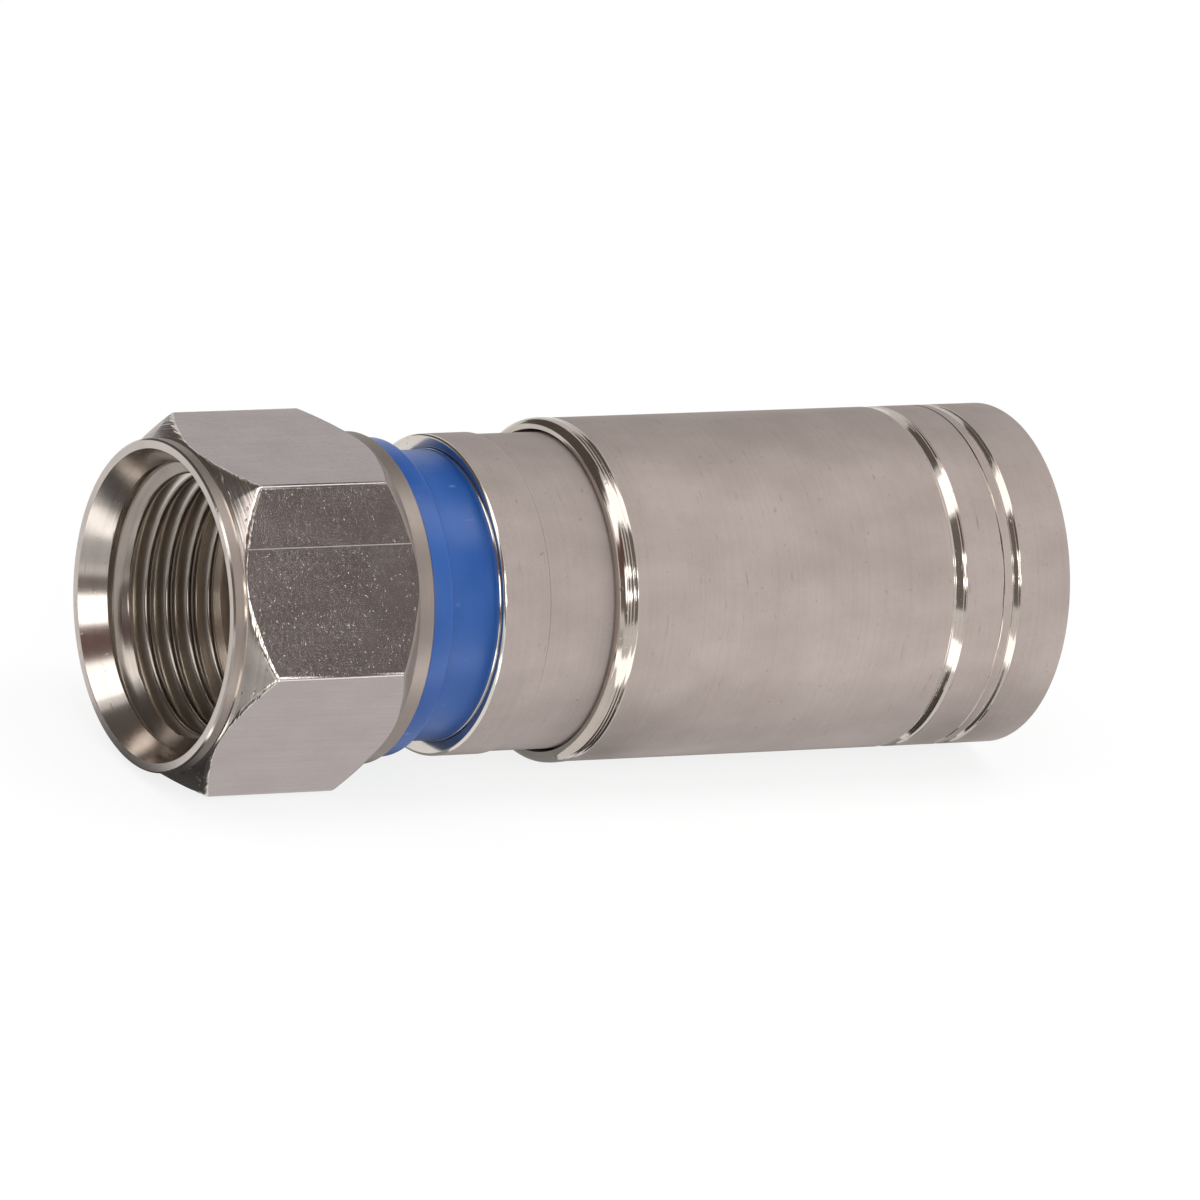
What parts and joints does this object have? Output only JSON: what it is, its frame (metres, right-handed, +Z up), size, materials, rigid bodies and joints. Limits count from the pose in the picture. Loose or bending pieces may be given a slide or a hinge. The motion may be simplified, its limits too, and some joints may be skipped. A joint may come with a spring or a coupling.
{
  "type": "compression f connector",
  "caption": "Male F connector for coaxial cable: free-turning hexagon nut, blue marker ring, turned body and a sleeve that slides forward to grip the cable.",
  "frame": {"origin": "centre of the post's bore at the reference plane, the front face of the post's flange", "axes": "+X along the connector's axis towards the cable, -X out of the nut's mouth, +Z up with one flat of the hexagon facing straight down, as the connector lies on a table"},
  "size_m": [0.0322, 0.0128, 0.0116],
  "materials": {
    "nickel_plated_nut": "nickel plated over drawn hexagon brass, satin flats and polished chamfers",
    "nickel_plated_post": "nickel plated, turned",
    "nickel_plated_body": "nickel plated, fine turning marks",
    "blue_plastic": "moulded, satin",
    "seal_rubber": "moulded",
    "nickel_plated_sleeve": "nickel plated, satin with polished grooves",
    "ferrule_plastic": "moulded, natural"
  },
  "bodies": {
    "body": {"connector_body": "nickel_plated_body", "centre_post": "nickel_plated_post", "marker_ring": "blue_plastic", "nut_seal": "seal_rubber"},
    "nut": {"coupling_nut": "nickel_plated_nut"},
    "sleeve": {"compression_sleeve": "nickel_plated_sleeve", "grip_ferrule": "ferrule_plastic"}
  },
  "joints": [
    {"name": "nut_spin", "type": "hinge", "parent": "body", "child": "nut", "pos_m": [0, 0, 0], "axis": [1, 0, 0], "continuous": true},
    {"name": "sleeve_slide", "type": "slide", "parent": "body", "child": "sleeve", "axis": [-1, 0, 0], "range_m": [0, 0.004]}
  ]
}
